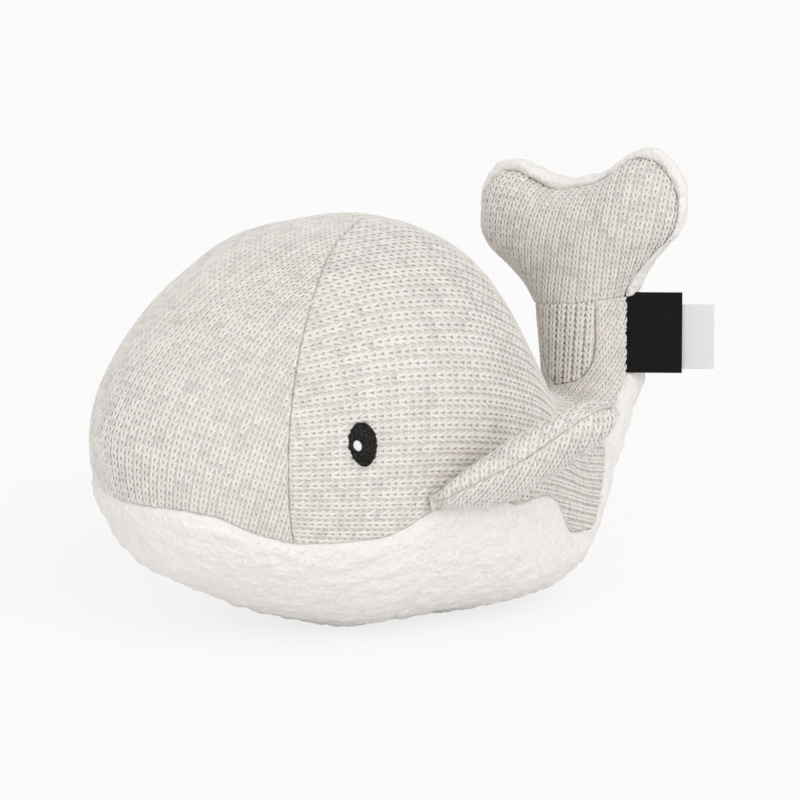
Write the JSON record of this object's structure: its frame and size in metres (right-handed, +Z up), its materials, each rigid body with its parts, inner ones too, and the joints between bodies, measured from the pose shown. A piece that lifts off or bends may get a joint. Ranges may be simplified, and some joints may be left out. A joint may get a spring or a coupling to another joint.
{
  "type": "stuffed whale toy",
  "caption": "Soft stuffed whale with a knitted back, curly fleece belly, padded side fins, raised tail fluke, embroidered eyes and blank labels in the tail seam.",
  "frame": {"origin": "on the flat underside that the whale rests on, in its middle plane below the body", "axes": "+Z up, the nose toward -Y, the whale's left side toward +X"},
  "size_m": [0.2474, 0.2777, 0.1799],
  "materials": {
    "grey_knit": "soft knit, matte",
    "white_fleece": "curly fleece, matte",
    "fibre_filling": "loose fibre",
    "black_thread": "satin stitch",
    "white_thread": "satin stitch",
    "black_tape": "woven tape",
    "white_satin": "satin ribbon"
  },
  "bodies": {
    "body": {"forehead_panel": "grey_knit", "left_side_panel": "grey_knit", "right_side_panel": "grey_knit", "stem_front_panel": "grey_knit", "belly_panel": "white_fleece", "body_filling": "fibre_filling", "left_eye": "black_thread", "left_eye_highlight": "white_thread", "right_eye": "black_thread", "right_eye_highlight": "white_thread"},
    "fluke": {"fluke_front_panel": "grey_knit", "fluke_back_panel": "white_fleece", "fluke_filling": "fibre_filling"},
    "left_fin": {"left_fin_outer_panel": "grey_knit", "left_fin_inner_panel": "grey_knit", "left_fin_filling": "fibre_filling"},
    "right_fin": {"right_fin_outer_panel": "grey_knit", "right_fin_inner_panel": "grey_knit", "right_fin_filling": "fibre_filling"},
    "woven_label": {"woven_label": "black_tape"},
    "care_label": {"care_label": "white_satin"}
  },
  "joints": [
    {"name": "left_fin_flap", "type": "hinge", "parent": "body", "child": "left_fin", "pos_m": [0.08381, -0.01555, 0.06191], "axis": [-0.0037, 0.992, -0.1264], "range_deg": [-6, 45], "stiffness_Nm_per_rad": 0.03},
    {"name": "right_fin_flap", "type": "hinge", "parent": "body", "child": "right_fin", "pos_m": [-0.08381, -0.01555, 0.06191], "axis": [-0.0037, -0.992, 0.1264], "range_deg": [-6, 45], "stiffness_Nm_per_rad": 0.03},
    {"name": "fluke_nod", "type": "hinge", "parent": "body", "child": "fluke", "pos_m": [-0.00485, 0.124, 0.11062], "axis": [0.9158, 0.3746, 0.145], "range_deg": [-12, 12], "stiffness_Nm_per_rad": 0.06},
    {"name": "woven_label_flap", "type": "hinge", "parent": "body", "child": "woven_label", "pos_m": [0.01828, 0.1299, 0.09799], "axis": [-0.189, 0.1445, 0.9713], "range_deg": [-50, 0], "stiffness_Nm_per_rad": 0.0003},
    {"name": "care_label_flap", "type": "hinge", "parent": "body", "child": "care_label", "pos_m": [0.01797, 0.13182, 0.09764], "axis": [-0.189, 0.1445, 0.9713], "range_deg": [0, 20], "stiffness_Nm_per_rad": 0.0003}
  ]
}
